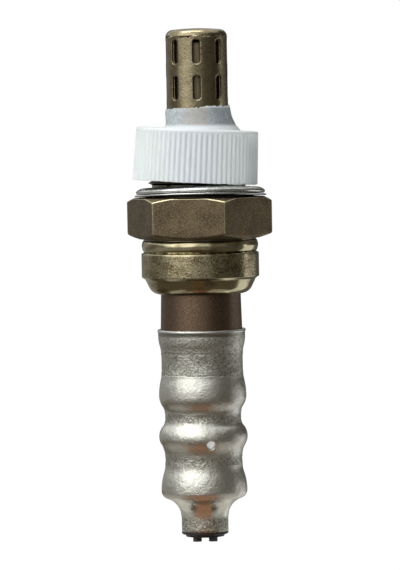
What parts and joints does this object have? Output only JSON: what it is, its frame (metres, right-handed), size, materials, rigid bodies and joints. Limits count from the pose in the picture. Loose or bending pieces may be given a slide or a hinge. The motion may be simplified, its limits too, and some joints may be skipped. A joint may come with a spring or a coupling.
{
  "type": "oxygen sensor",
  "caption": "Exhaust oxygen sensor with slotted protection tube, ribbed transit cap, hexagon body, crimped steel sleeve and cut lead stubs.",
  "frame": {"origin": "on the axis, at the face of the hexagon that the gasket seats on", "axes": "+Z along the axis to the sensing tip, -Y out of one flat of the hexagon"},
  "size_m": [0.025, 0.0225, 0.0877],
  "materials": {
    "tube_steel": "olive-bronze satin, fine pressed grain",
    "inner_tube_steel": "dull grey-brown",
    "shell_steel": "olive-bronze plated, mottled on the hexagon",
    "gasket_steel": "bright rolled strip",
    "cap_plastic": "milky white, thin and slightly translucent",
    "zirconia": "white, glazed",
    "alumina": "white, matt",
    "talc": "pressed powder",
    "packing_metal": "annealed",
    "inner_sleeve_steel": "dark brown satin",
    "outer_sleeve_steel": "satin, brighter on the bulges",
    "filter_ptfe": "porous white",
    "grommet_rubber": "matt black",
    "lead_insulation": "black, slightly glossy",
    "copper": "bare copper strands",
    "terminal_metal": "nickel, satin"
  },
  "bodies": {
    "root": {"outer_protector": "tube_steel", "inner_protector": "inner_tube_steel", "ceramic_element": "zirconia", "heater_rod": "alumina", "hex_shell": "shell_steel", "gasket": "gasket_steel", "thread_cap": "cap_plastic", "seat_washer": "packing_metal", "talc_seal": "talc", "insulator_sleeve": "alumina", "crimp_ring": "packing_metal", "inner_sleeve": "inner_sleeve_steel", "outer_sleeve": "outer_sleeve_steel", "filter": "filter_ptfe", "grommet": "grommet_rubber", "terminal_separator": "alumina", "separator_retainer": "packing_metal", "signal_terminal": "terminal_metal", "ground_terminal": "terminal_metal", "heater_terminal_a": "terminal_metal", "heater_terminal_b": "terminal_metal", "signal_lead": "lead_insulation", "ground_lead": "lead_insulation", "heater_lead_a": "lead_insulation", "heater_lead_b": "lead_insulation", "signal_core": "copper", "ground_core": "copper", "heater_core_a": "copper", "heater_core_b": "copper"}
  },
  "joints": []
}
